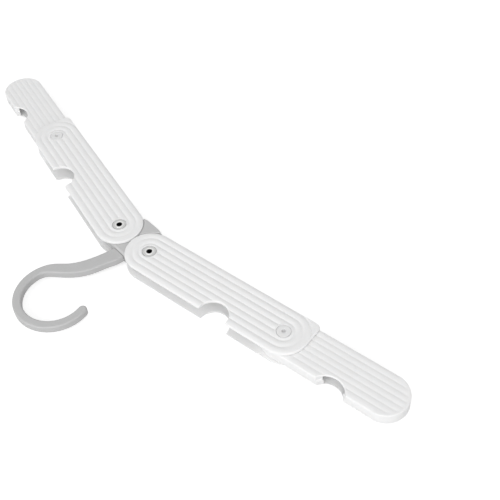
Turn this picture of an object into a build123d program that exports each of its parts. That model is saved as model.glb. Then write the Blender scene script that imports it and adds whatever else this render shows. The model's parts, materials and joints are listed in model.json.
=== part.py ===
from build123d import *
import os
from math import atan2, cos, degrees, hypot, radians, sin, sqrt

# Folding travel hanger, laid flat and fully open. Millimetres and degrees.
# The origin is the middle of the hook's inner circle, halfway through the thickness.
# +X runs along the hanger, +Y goes up towards the top of the hook and +Z out of the front.

# Arms: one open channel each, two plates joined by a wall along the lower edge
ARM_SPAN = 110.0
ARM_WIDTH = 33.0
ARM_THICKNESS = 13.0
ARM_PLATE = 1.9
ARM_WALL = 1.5
ARM_WALL_START = 23.0
ARM_CORNER = 3.5
ARM_EDGE = 0.7
ARM_DROOP_ANGLE = 10.4
ARM_END_GAP = 0.8
ARM_NOTCH_RADIUS = 10.4
ARM_NOTCH_X = 66.8
ARM_NOTCH_DROP = 0.7
ARM_NOTCH_LIP = 1.0

# Stop lug on each arm's lower edge, which meets the hub when the hanger is open
LUG_BACK = 1.0
LUG_FRONT = 8.0
LUG_DEPTH = 2.4

# Moulded ribs, shown as the shallow grooves between them
RIB_COUNT = 7
GROOVE_WIDTH = 0.8
GROOVE_DEPTH = 0.35

# Hub, between and inside the inner ends of the arms
HUB_TOP_INSET = 3.1
HUB_FLAT = 12.4
HUB_EASE = 2.6
HUB_BEVEL = 1.3
HUB_PAD_RECESS = 0.4
HUB_PAD_GAP = 0.45
HUB_PAD_TOP = 4.8
HUB_PAD_EDGE = 0.4
HUB_WALL = 1.8
HUB_SKIN = 1.5
HUB_BOSS_WALL = 2.0

# Hook and the peg that it swivels on
HOOK_RISE = 65.2
HOOK_INNER_RADIUS = 20.8
HOOK_BAND = 5.8
HOOK_THICKNESS = 5.8
HOOK_EDGE = 1.2
HOOK_TIP_ANGLE = 197.0
HOOK_BASE_WIDTH = 10.8
HOOK_BASE_GAP = 0.35
PEG_RADIUS = 2.2
PEG_LENGTH = 7.5
COLLAR_RADIUS = 3.1
COLLAR_LENGTH = 2.6

# The stem's edges leave the loop at these angles, measured round the loop's middle.
# Each point is a share of the loop's outer radius across and of the stem's height up.
STEM_OUTER_ANGLE = -18.0
STEM_INNER_ANGLE = -3.0
STEM_OUTER_SHARES = ((0.250, 0.17), (0.360, 0.37), (0.570, 0.575))
STEM_INNER_SHARES = ((0.585, 0.81), (0.237, 0.635), (0.000, 0.42), (-0.125, 0.19))

# Tips: two shells each, pivoted between the arm's plates and open along the lower edge, where the
# hook goes in when the hanger is folded up
TIP_LENGTH = 86.2
TIP_SKIN = 1.1
TIP_WALL = 1.6
TIP_NOTCH_RADIUS = 11.4
TIP_NOTCH_X = 43.5
TIP_NOTCH_RISE = 4.9
TIP_NOTCH_LEDGE = 0.8
TIP_NOTCH_LIP = 0.8
TIP_HOOK_GAP = 2.7
TIP_MOUTH = 7.2
TIP_BOSS_RADIUS = 6.5
POST_RADIUS = 1.6
SOCKET_WALL = 1.4
POST_SHARES = ((0.24, 0.45), (0.76, 0.50), (0.90, 0.05))

# Hollow rivets and washers at the hub
RIVET_RADIUS = 2.4
RIVET_BORE_RADIUS = 1.95
RIVET_FLANGE_RADIUS = 4.6
RIVET_FLANGE = 0.5
RIVET_LIP_RADIUS = 3.1
RIVET_LIP = 0.3
WASHER_RECESS = 1.1

# Pivot pins of the tips
PIN_RADIUS = 3.0
PIN_HEAD_RADIUS = 4.5
PIN_HEAD = 1.0
PIN_END_RADIUS = 1.8
PIN_DIMPLE_RADIUS = 1.4
PIN_DIMPLE = 0.8
PIN_RING_GAP = 0.2

# Clearances, and how far a cutting tool runs past what it cuts
RUNNING_GAP = 0.3
BORE_GAP = 0.08
PRESS_GAP = 0.02
OVERRUN = 5.0

# Sizes that follow from the ones above
ARM_RADIUS = ARM_WIDTH / 2
ARM_HALF = ARM_THICKNESS / 2
ARM_FOLD_ANGLE = 90 + ARM_DROOP_ANGLE
ARM_NOTCH_Y = ARM_RADIUS - ARM_NOTCH_DROP
CHANNEL_HALF = ARM_HALF - ARM_PLATE
CORE_HALF = CHANNEL_HALF - RUNNING_GAP
PAD_HALF = ARM_HALF - HUB_PAD_RECESS
RIVET_X = ARM_RADIUS + ARM_END_GAP / 2
HUB_RISE = ARM_RADIUS - HUB_TOP_INSET
HUB_DROP = ARM_RADIUS
TIP_RADIUS = ARM_RADIUS - ARM_WALL - RUNNING_GAP
TIP_NOTCH_Y = TIP_RADIUS + TIP_NOTCH_RISE
TIP_INSIDE_HALF = CORE_HALF - TIP_SKIN
HOOK_OUTER_RADIUS = HOOK_INNER_RADIUS + HOOK_BAND
HOOK_BASE_Y = HUB_RISE + HOOK_BASE_GAP
WASHER_FLOOR = ARM_HALF - WASHER_RECESS
RECESS_RADIUS = RIVET_FLANGE_RADIUS + RUNNING_GAP
SIDES = (("left", -1), ("right", 1))


def prism(face, low, high):
    """Flat face made solid between two heights."""
    return extrude(Pos(0, 0, low) * face, high - low)


def rod(radius, low, high, x=0, y=0):
    """Round bar along Z between two heights."""
    return prism(Pos(x, y) * Circle(radius), low, high)


def box_face(left, right, low, high):
    """Rectangle between two X and two Y limits."""
    middle = Pos((left + right) / 2, (low + high) / 2)
    return middle * Rectangle(right - left, high - low)


def stadium(span, radius):
    """Long round-ended outline from the origin to a second centre on +X."""
    ends = Circle(radius) + Pos(span, 0) * Circle(radius)
    return ends + box_face(0, span, -radius, radius)


def ring_sector(inner, outer, start, span):
    """Part of a flat ring round the origin, from a start angle through a span."""
    far = CenterArc((0, 0), outer, start, span)
    near = CenterArc((0, 0), inner, start, span)
    return make_face([far, Line(far @ 1, near @ 1), near, Line(near @ 0, far @ 0)])


def one_solid(shape):
    """The solid of a shape that holds just one."""
    return shape.solids()[0]


def rib_grooves(start, end, width, avoid):
    """Straight grooves between the ribs of a plate, kept clear of some faces."""
    pitch = width / RIB_COUNT
    grooves = Sketch()
    for number in range(1, RIB_COUNT):
        height = number * pitch - width / 2
        grooves += box_face(start, end, height - GROOVE_WIDTH / 2, height + GROOVE_WIDTH / 2)
    for face in avoid:
        grooves -= face
    return grooves


def rounded_lips(outline, middle, reach, edge, radius):
    """Outline with the two corners rounded where a notch meets its straight edge."""
    lips = [v for v in outline.vertices() if abs(v.X - middle) < reach + radius and v.Y > edge - radius]
    return fillet(lips, radius)


def arm_outline():
    """Outline of an arm's plates, from the hub rivet along +X."""
    outline = stadium(ARM_SPAN, ARM_RADIUS)
    end = ARM_SPAN + ARM_RADIUS
    corner = box_face(ARM_SPAN, end, -ARM_RADIUS, 0)
    low_end = corner.vertices().sort_by(Axis.X)[-2:].sort_by(Axis.Y)[0]
    outline += fillet(low_end, ARM_CORNER)
    notch = Pos(ARM_NOTCH_X, ARM_NOTCH_Y) * Circle(ARM_NOTCH_RADIUS)
    outline -= notch
    return rounded_lips(outline, ARM_NOTCH_X, ARM_NOTCH_RADIUS, ARM_RADIUS, ARM_NOTCH_LIP)


def arm():
    """Arm channel at its own hub rivet, pointing along +X."""
    outline = arm_outline()
    body = prism(outline, -ARM_HALF, ARM_HALF)
    rims = body.faces().filter_by(Axis.Z)
    body = fillet([edge for face in rims for edge in face.edges()], ARM_EDGE)
    end = ARM_SPAN + ARM_RADIUS
    opening = box_face(-ARM_RADIUS - OVERRUN, end + OVERRUN, -ARM_RADIUS - OVERRUN, ARM_RADIUS + OVERRUN)
    opening -= box_face(ARM_WALL_START, end + OVERRUN, -ARM_RADIUS - OVERRUN, ARM_WALL - ARM_RADIUS)
    opening -= box_face(-LUG_BACK, LUG_FRONT, -ARM_RADIUS - OVERRUN, LUG_DEPTH - ARM_RADIUS)
    body -= prism(opening, -CHANNEL_HALF, CHANNEL_HALF)
    body -= rod(RIVET_RADIUS + BORE_GAP, -ARM_HALF - OVERRUN, ARM_HALF + OVERRUN)
    body -= rod(PIN_RADIUS + PRESS_GAP, -ARM_HALF - OVERRUN, ARM_HALF + OVERRUN, ARM_SPAN)
    pin_recess = PIN_HEAD_RADIUS + PIN_RING_GAP
    grooves = rib_grooves(0, ARM_SPAN, ARM_WIDTH, (
        Circle(RECESS_RADIUS + GROOVE_WIDTH),
        Pos(ARM_SPAN, 0) * Circle(pin_recess + GROOVE_WIDTH),
        Pos(ARM_NOTCH_X, ARM_NOTCH_Y) * Circle(ARM_NOTCH_RADIUS + GROOVE_WIDTH)))
    for side in (-1, 1):
        low, high = sorted((side * (ARM_HALF + OVERRUN), side * WASHER_FLOOR))
        body -= rod(RECESS_RADIUS, low, high)
        low, high = sorted((side * (ARM_HALF + OVERRUN), side * (ARM_HALF - PIN_HEAD)))
        body -= rod(pin_recess, low, high, ARM_SPAN)
        low, high = sorted((side * (ARM_HALF + OVERRUN), side * (ARM_HALF - GROOVE_DEPTH)))
        body -= prism(grooves, low, high)
    return one_solid(body)


def tip_notch(radius):
    """Circle that cuts the notch into a tip's hook-side edge."""
    return Pos(TIP_NOTCH_X, TIP_NOTCH_Y) * Circle(radius)


def tip_posts():
    """Middles of the posts that join a tip's two shells."""
    return [(x * TIP_LENGTH, y * TIP_RADIUS) for x, y in POST_SHARES]


def tip_pocket():
    """Room for the hook in a tip that is folded away, open along the tip's lower edge."""
    loop_x = ARM_SPAN - HOOK_RISE
    reach = HOOK_OUTER_RADIUS + TIP_HOOK_GAP
    mouth = box_face(loop_x - reach, TIP_LENGTH + OVERRUN, -TIP_RADIUS - OVERRUN, TIP_MOUTH - TIP_RADIUS)
    return mouth + Pos(loop_x, -RIVET_X) * Circle(reach)


def tip_shell(notch_radius, side):
    """Half of a tip at its own pivot, pointing along +X: side 1 is the front."""
    span = TIP_LENGTH - TIP_RADIUS
    outline = stadium(span, TIP_RADIUS) - tip_notch(notch_radius)
    outline = rounded_lips(outline, TIP_NOTCH_X, notch_radius, TIP_RADIUS, TIP_NOTCH_LIP)
    inside = stadium(span, TIP_RADIUS - TIP_WALL) - tip_notch(notch_radius + TIP_WALL)
    inside = inside + tip_pocket() - Circle(TIP_BOSS_RADIUS)
    shell = prism(outline, 0, CORE_HALF)
    shell -= prism(inside, -OVERRUN, TIP_INSIDE_HALF)
    shell -= rod(PIN_RADIUS + BORE_GAP, -OVERRUN, CORE_HALF + OVERRUN)
    pitch_notch = tip_notch(TIP_NOTCH_RADIUS + GROOVE_WIDTH)
    grooves = rib_grooves(ARM_RADIUS, span, 2 * TIP_RADIUS, (pitch_notch,))
    shell -= prism(grooves, CORE_HALF - GROOVE_DEPTH, CORE_HALF + OVERRUN)
    if side > 0:
        for x, y in tip_posts():
            shell += rod(POST_RADIUS, RUNNING_GAP - TIP_INSIDE_HALF, TIP_INSIDE_HALF, x, y)
        return one_solid(shell)
    for x, y in tip_posts():
        socket = Circle(POST_RADIUS + SOCKET_WALL) - Circle(POST_RADIUS + PRESS_GAP)
        shell += prism(Pos(x, y) * socket, 0, TIP_INSIDE_HALF)
    return one_solid(shell).mirror(Plane.XY)


def hub_core_outline():
    """Outline of the hub's inner layer, round the point between its two rivets."""
    flat = HUB_FLAT / 2
    block = make_face(Polyline(
        (-RIVET_X, HUB_RISE), (RIVET_X, HUB_RISE), (RIVET_X, HUB_EASE - HUB_DROP), (flat, -HUB_DROP),
        (-flat, -HUB_DROP), (-RIVET_X, HUB_EASE - HUB_DROP), (-RIVET_X, HUB_RISE)))
    for x in (-RIVET_X, RIVET_X):
        block += Pos(x, 0) * Circle(HUB_RISE)
    inner = ARM_RADIUS - LUG_DEPTH
    gap = degrees(RUNNING_GAP / inner)
    start = degrees(atan2(-inner, -LUG_BACK)) - ARM_DROOP_ANGLE - gap
    stop = degrees(atan2(-inner, LUG_FRONT)) - ARM_DROOP_ANGLE + ARM_FOLD_ANGLE + gap
    sweep = ring_sector(inner - RUNNING_GAP, ARM_RADIUS + OVERRUN, start, stop - start)
    block -= Pos(RIVET_X, 0) * sweep
    block -= Pos(-RIVET_X, 0) * sweep.mirror(Plane.YZ)
    return block


def hub_pad_outline():
    """Thick part of the hub between the arms' round ends, below the rivets."""
    pad = hub_core_outline() & box_face(-RIVET_X, RIVET_X, -HUB_DROP - OVERRUN, -HUB_PAD_TOP)
    for x in (-RIVET_X, RIVET_X):
        pad -= Pos(x, 0) * Circle(ARM_RADIUS + HUB_PAD_GAP)
    return pad


def hub_shell():
    """Front half of the hub, whose middle is the point between its rivets."""
    outline = hub_core_outline()
    pad = prism(hub_pad_outline(), 0, PAD_HALF)
    pad = chamfer(pad.faces().sort_by(Axis.Z)[-1].edges(), HUB_PAD_EDGE)
    shell = prism(outline, 0, CORE_HALF) + pad
    rims = shell.edges().filter_by_position(Axis.Z, CORE_HALF, CORE_HALF)
    shell = chamfer(rims.filter_by_position(Axis.Y, HUB_RISE - HUB_BEVEL, HUB_RISE), HUB_BEVEL)
    boss = RIVET_RADIUS + HUB_BOSS_WALL
    housing = COLLAR_RADIUS + RUNNING_GAP + HUB_WALL
    chamber_end = HUB_RISE - PEG_LENGTH - COLLAR_LENGTH - RUNNING_GAP
    pocket = offset(outline, -HUB_WALL)
    pocket -= box_face(-housing, housing, chamber_end - HUB_WALL, HUB_RISE)
    for x in (-RIVET_X, RIVET_X):
        pocket -= Pos(x, 0) * Circle(boss)
        shell -= rod(RIVET_RADIUS + PRESS_GAP, -OVERRUN, CORE_HALF + OVERRUN, x)
    shell -= prism(pocket, -OVERRUN, CORE_HALF - HUB_SKIN)
    neck_bottom = HUB_RISE - PEG_LENGTH
    shell -= peg_bar(PEG_RADIUS + BORE_GAP, neck_bottom, HUB_RISE + OVERRUN)
    shell -= peg_bar(COLLAR_RADIUS + RUNNING_GAP, chamber_end, neck_bottom + RUNNING_GAP)
    return one_solid(shell)


def peg_bar(radius, low, high):
    """Round bar along Y between two heights, on the hook's swivel axis."""
    return Pos(0, low, 0) * extrude(Plane.XZ * Circle(radius), -(high - low))


def polar(radius, angle):
    """Point of a circle round the origin."""
    return (radius * cos(radians(angle)), radius * sin(radians(angle)))


def hook_outline():
    """Flat outline of the hook, round the middle of its loop."""
    base = HOOK_BASE_Y - HOOK_RISE
    half = HOOK_BASE_WIDTH / 2
    outer_start = polar(HOOK_OUTER_RADIUS, STEM_OUTER_ANGLE)
    inner_start = polar(HOOK_INNER_RADIUS, STEM_INNER_ANGLE)
    tip_outer = polar(HOOK_OUTER_RADIUS, HOOK_TIP_ANGLE)
    tip_inner = polar(HOOK_INNER_RADIUS, HOOK_TIP_ANGLE)
    tip_middle = polar(HOOK_INNER_RADIUS + HOOK_BAND / 2, HOOK_TIP_ANGLE)
    tip_end = (tip_middle[0] + HOOK_BAND / 2 * sin(radians(180 - HOOK_TIP_ANGLE)),
               tip_middle[1] + HOOK_BAND / 2 * cos(radians(HOOK_TIP_ANGLE)))

    def place(share):
        return (share[0] * HOOK_OUTER_RADIUS, base * (1 - share[1]))

    outer = Spline([(half, base), *map(place, STEM_OUTER_SHARES), outer_start],
                   tangents=[(0, 1), polar(1, STEM_OUTER_ANGLE + 90)])
    inner = Spline([inner_start, *map(place, STEM_INNER_SHARES), (-half, base)],
                   tangents=[polar(1, STEM_INNER_ANGLE - 90), (0, -1)])
    loop_outer = CenterArc((0, 0), HOOK_OUTER_RADIUS, STEM_OUTER_ANGLE, HOOK_TIP_ANGLE - STEM_OUTER_ANGLE)
    loop_inner = CenterArc((0, 0), HOOK_INNER_RADIUS, STEM_INNER_ANGLE, HOOK_TIP_ANGLE - STEM_INNER_ANGLE)
    tip = ThreePointArc(tip_outer, tip_end, tip_inner)
    foot = Line((-half, base), (half, base))
    return make_face([outer, loop_outer, tip, loop_inner, inner, foot])


def hook():
    """Hook with its swivel peg, round the middle of its loop."""
    body = prism(hook_outline(), -HOOK_THICKNESS / 2, HOOK_THICKNESS / 2)
    flats = body.faces().filter_by(Axis.Z)
    rims = [edge for face in flats for edge in face.edges() if edge.center().Y > HOOK_BASE_Y - HOOK_RISE + HOOK_EDGE]
    body = fillet(rims, HOOK_EDGE)
    base = HOOK_BASE_Y - HOOK_RISE
    neck_low = HUB_RISE - HOOK_RISE - PEG_LENGTH
    body += peg_bar(PEG_RADIUS, neck_low - COLLAR_LENGTH, base + HOOK_EDGE)
    body += peg_bar(COLLAR_RADIUS, neck_low - COLLAR_LENGTH, neck_low)
    return one_solid(body)


def hub_rivet():
    """Hollow rivet through an arm and the hub, with its flange at the back."""
    flange_face = -WASHER_FLOOR - RUNNING_GAP
    washer_top = WASHER_FLOOR + RUNNING_GAP + RIVET_FLANGE
    body = rod(RIVET_RADIUS, flange_face - RIVET_FLANGE, washer_top + RIVET_LIP)
    body += rod(RIVET_FLANGE_RADIUS, flange_face - RIVET_FLANGE, flange_face)
    body += rod(RIVET_LIP_RADIUS, washer_top, washer_top + RIVET_LIP)
    body -= rod(RIVET_BORE_RADIUS, -ARM_HALF - OVERRUN, ARM_HALF + OVERRUN)
    return one_solid(body)


def hub_washer():
    """Washer under the rolled lip of a hub rivet."""
    low = WASHER_FLOOR + RUNNING_GAP
    ring = Circle(RIVET_FLANGE_RADIUS) - Circle(RIVET_RADIUS + PRESS_GAP)
    return one_solid(prism(ring, low, low + RIVET_FLANGE))


def tip_pin():
    """Pivot pin of a tip, with its head at the front."""
    body = rod(PIN_RADIUS, PIN_HEAD - ARM_HALF, ARM_HALF - PIN_HEAD)
    body += rod(PIN_HEAD_RADIUS, ARM_HALF - PIN_HEAD, ARM_HALF)
    body += rod(PIN_END_RADIUS, -ARM_HALF, PIN_HEAD - ARM_HALF)
    body -= rod(PIN_DIMPLE_RADIUS, ARM_HALF - PIN_DIMPLE, ARM_HALF + OVERRUN)
    return one_solid(body)


def tip_pin_cap():
    """Cap pressed on the back end of a tip's pivot pin."""
    ring = Circle(PIN_HEAD_RADIUS) - Circle(PIN_END_RADIUS + PRESS_GAP)
    return one_solid(prism(ring, -ARM_HALF, PIN_HEAD - ARM_HALF))


def on_side(shape, side):
    """A right-hand shape, or its mirror image on the left."""
    return shape if side > 0 else shape.mirror(Plane.YZ)


def build_nodes():
    """Every piece by its node's name, in the hanger's own frame."""
    hub_place = Pos(0, -HOOK_RISE, 0)
    rivet_place = hub_place * Pos(RIVET_X, 0, 0)
    arm_place = rivet_place * Rot(0, 0, -ARM_DROOP_ANGLE)
    tip_place = arm_place * Pos(ARM_SPAN, 0, 0)
    front = hub_shell()
    nodes = {
        "hook": hook(),
        "hub_front_shell": hub_place * front,
        "hub_back_shell": hub_place * front.mirror(Plane.XY),
    }
    tip_front = tip_shell(TIP_NOTCH_RADIUS, 1)
    tip_back = tip_shell(TIP_NOTCH_RADIUS - TIP_NOTCH_LEDGE, -1)
    for name, side in SIDES:
        nodes[f"arm_{name}"] = on_side(arm_place * arm(), side)
        nodes[f"hub_rivet_{name}"] = on_side(rivet_place * hub_rivet(), side)
        nodes[f"hub_washer_{name}"] = on_side(rivet_place * hub_washer(), side)
        nodes[f"tip_front_shell_{name}"] = on_side(tip_place * tip_front, side)
        nodes[f"tip_back_shell_{name}"] = on_side(tip_place * tip_back, side)
        nodes[f"tip_pin_{name}"] = on_side(tip_place * tip_pin(), side)
        nodes[f"tip_pin_cap_{name}"] = on_side(tip_place * tip_pin_cap(), side)
    return nodes


os.makedirs("parts", exist_ok=True)
for node_name, node_shape in build_nodes().items():
    export_step(node_shape, f"parts/{node_name}.step")
    print(node_name, round(node_shape.volume))
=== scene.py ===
"""Folding travel hanger: ribbed white arms and tips on a grey hub that carries a swivel hook.

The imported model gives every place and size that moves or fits. This script dresses it: the arms and tips
get their moulded ribs, the rivets and pins their rolled and rounded edges, and every surface its finish.
"""

import json
import logging
from dataclasses import dataclass
from enum import Enum
from math import atan2, cos, floor, hypot, pi, radians, sin, sqrt

import bmesh
import bpy
from mathutils import Matrix, Vector

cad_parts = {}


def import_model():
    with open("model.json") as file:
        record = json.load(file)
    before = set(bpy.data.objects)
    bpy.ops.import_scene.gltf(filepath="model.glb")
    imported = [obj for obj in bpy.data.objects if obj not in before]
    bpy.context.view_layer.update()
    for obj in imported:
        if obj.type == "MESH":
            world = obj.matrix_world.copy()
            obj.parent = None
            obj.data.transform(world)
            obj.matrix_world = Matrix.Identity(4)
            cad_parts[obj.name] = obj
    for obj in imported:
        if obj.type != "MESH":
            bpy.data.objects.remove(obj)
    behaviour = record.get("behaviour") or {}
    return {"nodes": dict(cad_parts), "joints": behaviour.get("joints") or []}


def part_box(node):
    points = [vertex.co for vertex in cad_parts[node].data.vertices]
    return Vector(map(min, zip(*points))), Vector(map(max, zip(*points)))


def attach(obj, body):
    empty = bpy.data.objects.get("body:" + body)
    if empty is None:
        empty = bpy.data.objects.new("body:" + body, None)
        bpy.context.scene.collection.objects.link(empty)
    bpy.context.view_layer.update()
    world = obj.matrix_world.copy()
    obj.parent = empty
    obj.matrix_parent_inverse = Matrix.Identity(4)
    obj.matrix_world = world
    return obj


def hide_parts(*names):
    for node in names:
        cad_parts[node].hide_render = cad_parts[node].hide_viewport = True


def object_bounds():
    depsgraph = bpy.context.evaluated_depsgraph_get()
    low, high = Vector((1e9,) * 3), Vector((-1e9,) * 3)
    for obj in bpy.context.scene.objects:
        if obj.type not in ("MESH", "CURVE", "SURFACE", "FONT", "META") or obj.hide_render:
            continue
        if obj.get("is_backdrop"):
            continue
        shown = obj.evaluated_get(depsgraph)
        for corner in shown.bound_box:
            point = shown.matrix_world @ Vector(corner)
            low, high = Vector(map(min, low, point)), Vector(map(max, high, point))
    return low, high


LOG = logging.getLogger("hanger")
MM = 0.001
FULL_TURN = 2 * pi

# Below the smooth angle two faces meet in a round, and points closer than the weld are one
SMOOTH_ANGLE = radians(32)
WELD = 0.004 * MM

# How far a tool goes past what it cuts, and a length past every piece
PAST = 2 * MM
FAR = 1000 * MM
BAR_FACETS = 96

# Where a plate's grid has lines, as shares of a rim, of a rib and of the square corner
RIM_SHARES = (0, 0.05, 0.18, 0.38, 0.65, 1.0)
END_RIM_SHARES = (0.06, 0.2, 0.4, 0.7, 1.0)
RIB_SHARES = (0.0, 0.06, 0.14, 0.26, 0.4, 0.6, 0.74, 0.86, 0.94)
CORNER_SHARES = (1, 0.94, 0.86, 0.76, 0.6, 0.4, 0.2, 0.08, 0.03)

# The tips' outline, which the boxes of the frame don't give, and the room for the hook's loop
TIP_LENGTH = 86.2 * MM
TIP_RADIUS = 14.7 * MM
TIP_NOTCH_X = 43.5 * MM
TIP_NOTCH_Y = 19.6 * MM
TIP_NOTCH_RADIUS = 11.4 * MM
TIP_LEDGE = 0.8 * MM
TIP_LIP = 0.8 * MM
HOOK_GAP = 2.7 * MM


class Side(Enum):
    """The two halves of the hanger, as seen from the front with the hook up."""

    LEFT = -1
    RIGHT = 1

    @property
    def label(self) -> str:
        """The side's name as the nodes spell it."""
        return self.name.lower()


class Face(Enum):
    """The two broad faces of a plate."""

    FRONT = 1
    BACK = -1


def linear(code: str) -> tuple[float, float, float, float]:
    """Turns an sRGB hex colour into the linear colour that the shaders take.

    Args:
        code: six hex digits, such as "F0F0EE".

    Returns:
        Red, green, blue and an alpha of 1.
    """
    parts = [int(code[i:i + 2], 16) / 255 for i in (0, 2, 4)]
    red, green, blue = (c / 12.92 if c <= 0.04045 else ((c + 0.055) / 1.055) ** 2.4 for c in parts)
    return (red, green, blue, 1.0)


def smooth_step(value: float, low: float, high: float) -> float:
    """Rises smoothly from 0 at low to 1 at high.

    Args:
        value: the place to read.
        low: where the rise starts.
        high: where it ends.

    Returns:
        The share of the rise, from 0 to 1.
    """
    share = min(1.0, max(0.0, (value - low) / (high - low)))
    return share * share * (3 - 2 * share)


class NodeSheet:
    """A material's node tree, and the one way that nodes are added to it."""

    def __init__(self, name: str) -> None:
        """Starts an empty material.

        Args:
            name: the material's name.
        """
        self.material = bpy.data.materials.new(name)
        self.material.use_nodes = True
        self.material.node_tree.nodes.clear()

    def add(self, kind: str, settings: dict | None = None, inputs: dict | None = None) -> bpy.types.Node:
        """Adds one node with its settings and links.

        Args:
            kind: the node's type name without the ShaderNode prefix.
            settings: attributes to set on the node.
            inputs: values or output sockets by input name or number.

        Returns:
            The new node.
        """
        node = self.material.node_tree.nodes.new("ShaderNode" + kind)
        for name, value in (settings or {}).items():
            setattr(node, name, value)
        for name, value in (inputs or {}).items():
            if isinstance(value, bpy.types.NodeSocket):
                self.material.node_tree.links.new(value, node.inputs[name])
            else:
                node.inputs[name].default_value = value
        return node

    def noise(self, size_mm: float, detail: float) -> bpy.types.NodeSocket:
        """Adds solid noise that stays with the piece.

        Args:
            size_mm: how large its features are, in millimetres.
            detail: how many finer layers it has.

        Returns:
            The noise's value.
        """
        place = self.add("TexCoord").outputs["Object"]
        inputs = {"Vector": place, "Scale": 1 / (size_mm * MM), "Detail": detail}
        return self.add("TexNoise", {"noise_dimensions": "3D"}, inputs).outputs["Fac"]

    def spread(self, value: bpy.types.NodeSocket, low: float, high: float) -> bpy.types.NodeSocket:
        """Spreads a value from 0 to 1 over a range.

        Args:
            value: the value.
            low: what 0 becomes.
            high: what 1 becomes.

        Returns:
            The spread value.
        """
        inputs = {"Value": value, "To Min": low, "To Max": high}
        return self.add("MapRange", None, inputs).outputs["Result"]

    def bump(self, value: bpy.types.NodeSocket, height_mm: float, strength: float,
             under: bpy.types.NodeSocket | None = None) -> bpy.types.NodeSocket:
        """Adds relief that only bends the light.

        Args:
            value: the relief, from 0 to 1.
            height_mm: its height in millimetres.
            strength: how much of it is seen.
            under: the normal of a coarser relief that it lies on.

        Returns:
            The bent normal.
        """
        inputs = {"Strength": strength, "Distance": height_mm * MM, "Height": value}
        if under is not None:
            inputs["Normal"] = under
        return self.add("Bump", None, inputs).outputs["Normal"]

    def surface(self, inputs: dict) -> bpy.types.Material:
        """Ends the material with its surface.

        Args:
            inputs: values or output sockets of the surface, by input name.

        Returns:
            The finished material.
        """
        body = self.add("BsdfPrincipled", None, inputs)
        self.add("OutputMaterial", None, {"Surface": body.outputs["BSDF"]})
        return self.material


@dataclass(frozen=True)
class MouldedPlastic:
    """Injection-moulded polypropylene or acetal from a finely spark-eroded tool.

    It gives the eye a soft satin white or grey with a little depth: light goes a short way in, the skin
    has a fine even grain, and slow waves of shrinkage bend the reflections.
    """

    name: str
    colour: str
    shade: str
    roughness: float
    depth_mm: float
    grain_mm: float = 0.5
    grain_height_mm: float = 0.03
    grain_strength: float = 0.10
    wave_mm: float = 9.0
    wave_height_mm: float = 0.15
    wave_strength: float = 0.12
    gloss_range: float = 0.05
    ior: float = 1.49
    translucency: float = 0.12
    depth_shares: tuple[float, float, float] = (1.0, 0.95, 0.9)

    def material(self) -> bpy.types.Material:
        """Builds the finished material."""
        sheet = NodeSheet(self.name)
        cloud = sheet.noise(self.wave_mm, detail=2.0)
        grain = sheet.noise(self.grain_mm, detail=3.0)
        shades = {"Factor": cloud, "A": linear(self.shade), "B": linear(self.colour)}
        waves = sheet.bump(cloud, self.wave_height_mm, self.wave_strength)
        return sheet.surface({
            "Base Color": sheet.add("Mix", {"data_type": "RGBA"}, shades).outputs["Result"],
            "Roughness": sheet.spread(grain, self.roughness - self.gloss_range,
                                      self.roughness + self.gloss_range),
            "Normal": sheet.bump(grain, self.grain_height_mm, self.grain_strength, waves),
            "IOR": self.ior,
            "Subsurface Weight": self.translucency,
            "Subsurface Radius": self.depth_shares,
            "Subsurface Scale": self.depth_mm * MM,
        })


@dataclass(frozen=True)
class PlatedSteel:
    """Nickel-plated steel, drawn into a tube and rolled over at its end.

    It gives the eye a pale warm grey with soft reflections, faint rings from the rolling tool and small
    spots where the plating is duller.
    """

    name: str
    colour: str
    roughness: float
    ring_mm: float = 0.35
    ring_height_mm: float = 0.03
    ring_strength: float = 0.15
    spot_mm: float = 1.2
    spot_polish: float = 0.08
    spot_dulling: float = 0.10

    def material(self) -> bpy.types.Material:
        """Builds the finished material."""
        sheet = NodeSheet(self.name)
        spots = sheet.noise(self.spot_mm, detail=4.0)
        rings = sheet.noise(self.ring_mm, detail=1.0)
        return sheet.surface({
            "Base Color": linear(self.colour),
            "Metallic": 1.0,
            "Roughness": sheet.spread(spots, self.roughness - self.spot_polish,
                                      self.roughness + self.spot_dulling),
            "Normal": sheet.bump(rings, self.ring_height_mm, self.ring_strength),
        })


@dataclass(frozen=True)
class PaintedShadeBore:
    """Near-black paint on the inside of the rivet's tube: painted shade that stands in for the darkness
    deep in the hole.

    It gives the eye a nearly black hole, with no mirror image of the room in it.
    """

    name: str
    colour: str
    roughness: float
    streak_mm: float = 0.8
    gloss_range: float = 0.1

    def material(self) -> bpy.types.Material:
        """Builds the finished material."""
        sheet = NodeSheet(self.name)
        streaks = sheet.noise(self.streak_mm, detail=3.0)
        return sheet.surface({
            "Base Color": linear(self.colour),
            "Roughness": sheet.spread(streaks, self.roughness - self.gloss_range,
                                      self.roughness + self.gloss_range),
        })


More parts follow.
